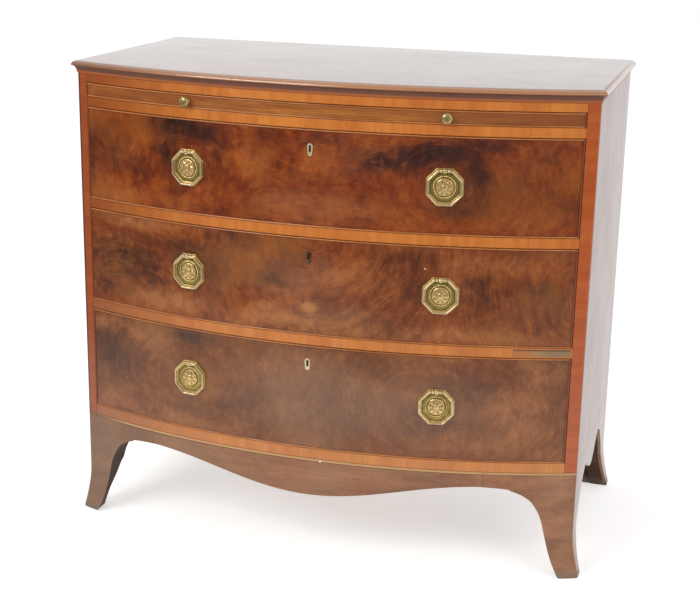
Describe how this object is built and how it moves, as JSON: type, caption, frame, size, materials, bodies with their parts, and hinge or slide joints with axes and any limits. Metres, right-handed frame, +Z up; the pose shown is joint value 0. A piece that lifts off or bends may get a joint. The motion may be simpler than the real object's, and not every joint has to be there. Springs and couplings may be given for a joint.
{
  "type": "bow front chest of drawers",
  "caption": "Bow-fronted mahogany chest of drawers with a pull-out brushing slide under its moulded top, octagonal ring handles, drawer locks and splayed bracket feet.",
  "frame": {"origin": "on the floor, under the middle of the chest's box", "axes": "+X to the right along the front, +Y to the back, +Z up"},
  "size_m": [0.93, 0.53, 0.835],
  "materials": {
    "mahogany": "polished flame mahogany veneer",
    "top_mahogany": "polished mahogany, a little faded",
    "banding": "polished satinwood banding",
    "pine": "bare aged pine",
    "oak": "bare aged oak",
    "brass": "stamped and lightly tarnished brass",
    "iron": "dull iron and steel"
  },
  "bodies": {
    "carcase": {"top_board": "top_mahogany", "bottom_board": "banding", "back_panel": "pine", "front_apron": "mahogany", "top_rail": "banding", "slide_rail": "banding", "drawer_rail_upper": "banding", "drawer_rail_lower": "banding", "dustboard_slide": "pine", "dustboard_upper": "pine", "dustboard_lower": "pine", "side_left": "mahogany", "side_right": "mahogany", "kicker_left": "pine", "kicker_right": "pine", "side_apron_left": "mahogany", "side_apron_right": "mahogany", "front_foot_left": "mahogany", "front_foot_right": "mahogany", "back_foot_left": "mahogany", "back_foot_right": "mahogany"},
    "slide": {"slide_board": "mahogany", "slide_knob_left": "brass", "slide_knob_right": "brass"},
    "drawer_upper": {"drawer_upper_front": "mahogany", "drawer_upper_side_left": "oak", "drawer_upper_side_right": "oak", "drawer_upper_back": "oak", "drawer_upper_bottom": "pine", "drawer_upper_lock_case": "iron", "drawer_upper_escutcheon": "brass", "drawer_upper_plate_left": "brass", "drawer_upper_plate_right": "brass"},
    "bolt_upper": {"drawer_upper_lock_bolt": "iron"},
    "ring_upper_left": {"drawer_upper_ring_left": "brass"},
    "ring_upper_right": {"drawer_upper_ring_right": "brass"},
    "drawer_middle": {"drawer_middle_front": "mahogany", "drawer_middle_side_left": "oak", "drawer_middle_side_right": "oak", "drawer_middle_back": "oak", "drawer_middle_bottom": "pine", "drawer_middle_lock_case": "iron", "drawer_middle_escutcheon": "brass", "drawer_middle_plate_left": "brass", "drawer_middle_plate_right": "brass"},
    "bolt_middle": {"drawer_middle_lock_bolt": "iron"},
    "ring_middle_left": {"drawer_middle_ring_left": "brass"},
    "ring_middle_right": {"drawer_middle_ring_right": "brass"},
    "drawer_lower": {"drawer_lower_front": "mahogany", "drawer_lower_side_left": "oak", "drawer_lower_side_right": "oak", "drawer_lower_back": "oak", "drawer_lower_bottom": "pine", "drawer_lower_lock_case": "iron", "drawer_lower_escutcheon": "brass", "drawer_lower_plate_left": "brass", "drawer_lower_plate_right": "brass"},
    "bolt_lower": {"drawer_lower_lock_bolt": "iron"},
    "ring_lower_left": {"drawer_lower_ring_left": "brass"},
    "ring_lower_right": {"drawer_lower_ring_right": "brass"}
  },
  "joints": [
    {"name": "slide_pull", "type": "slide", "parent": "carcase", "child": "slide", "axis": [0, -1, 0], "range_m": [0, 0.28]},
    {"name": "drawer_upper_pull", "type": "slide", "parent": "carcase", "child": "drawer_upper", "axis": [0, -1, 0], "range_m": [0, 0.34]},
    {"name": "bolt_upper_throw", "type": "slide", "parent": "drawer_upper", "child": "bolt_upper", "axis": [0, 0, 1], "range_m": [0, 0.007]},
    {"name": "ring_upper_left_lift", "type": "hinge", "parent": "drawer_upper", "child": "ring_upper_left", "pos_m": [-0.21999, -0.24192, 0.7025], "axis": [-0.9841, 0.1775, 0], "range_deg": [0, 100]},
    {"name": "ring_upper_right_lift", "type": "hinge", "parent": "drawer_upper", "child": "ring_upper_right", "pos_m": [0.21999, -0.24192, 0.7025], "axis": [-0.9841, -0.1775, 0], "range_deg": [0, 100]},
    {"name": "drawer_middle_pull", "type": "slide", "parent": "carcase", "child": "drawer_middle", "axis": [0, -1, 0], "range_m": [0, 0.34]},
    {"name": "bolt_middle_throw", "type": "slide", "parent": "drawer_middle", "child": "bolt_middle", "axis": [0, 0, 1], "range_m": [0, 0.007]},
    {"name": "ring_middle_left_lift", "type": "hinge", "parent": "drawer_middle", "child": "ring_middle_left", "pos_m": [-0.21999, -0.24192, 0.5235], "axis": [-0.9841, 0.1775, 0], "range_deg": [0, 100]},
    {"name": "ring_middle_right_lift", "type": "hinge", "parent": "drawer_middle", "child": "ring_middle_right", "pos_m": [0.21999, -0.24192, 0.5235], "axis": [-0.9841, -0.1775, 0], "range_deg": [0, 100]},
    {"name": "drawer_lower_pull", "type": "slide", "parent": "carcase", "child": "drawer_lower", "axis": [0, -1, 0], "range_m": [0, 0.34]},
    {"name": "bolt_lower_throw", "type": "slide", "parent": "drawer_lower", "child": "bolt_lower", "axis": [0, 0, 1], "range_m": [0, 0.007]},
    {"name": "ring_lower_left_lift", "type": "hinge", "parent": "drawer_lower", "child": "ring_lower_left", "pos_m": [-0.21999, -0.24192, 0.33225], "axis": [-0.9841, 0.1775, 0], "range_deg": [0, 100]},
    {"name": "ring_lower_right_lift", "type": "hinge", "parent": "drawer_lower", "child": "ring_lower_right", "pos_m": [0.21999, -0.24192, 0.33225], "axis": [-0.9841, -0.1775, 0], "range_deg": [0, 100]}
  ]
}
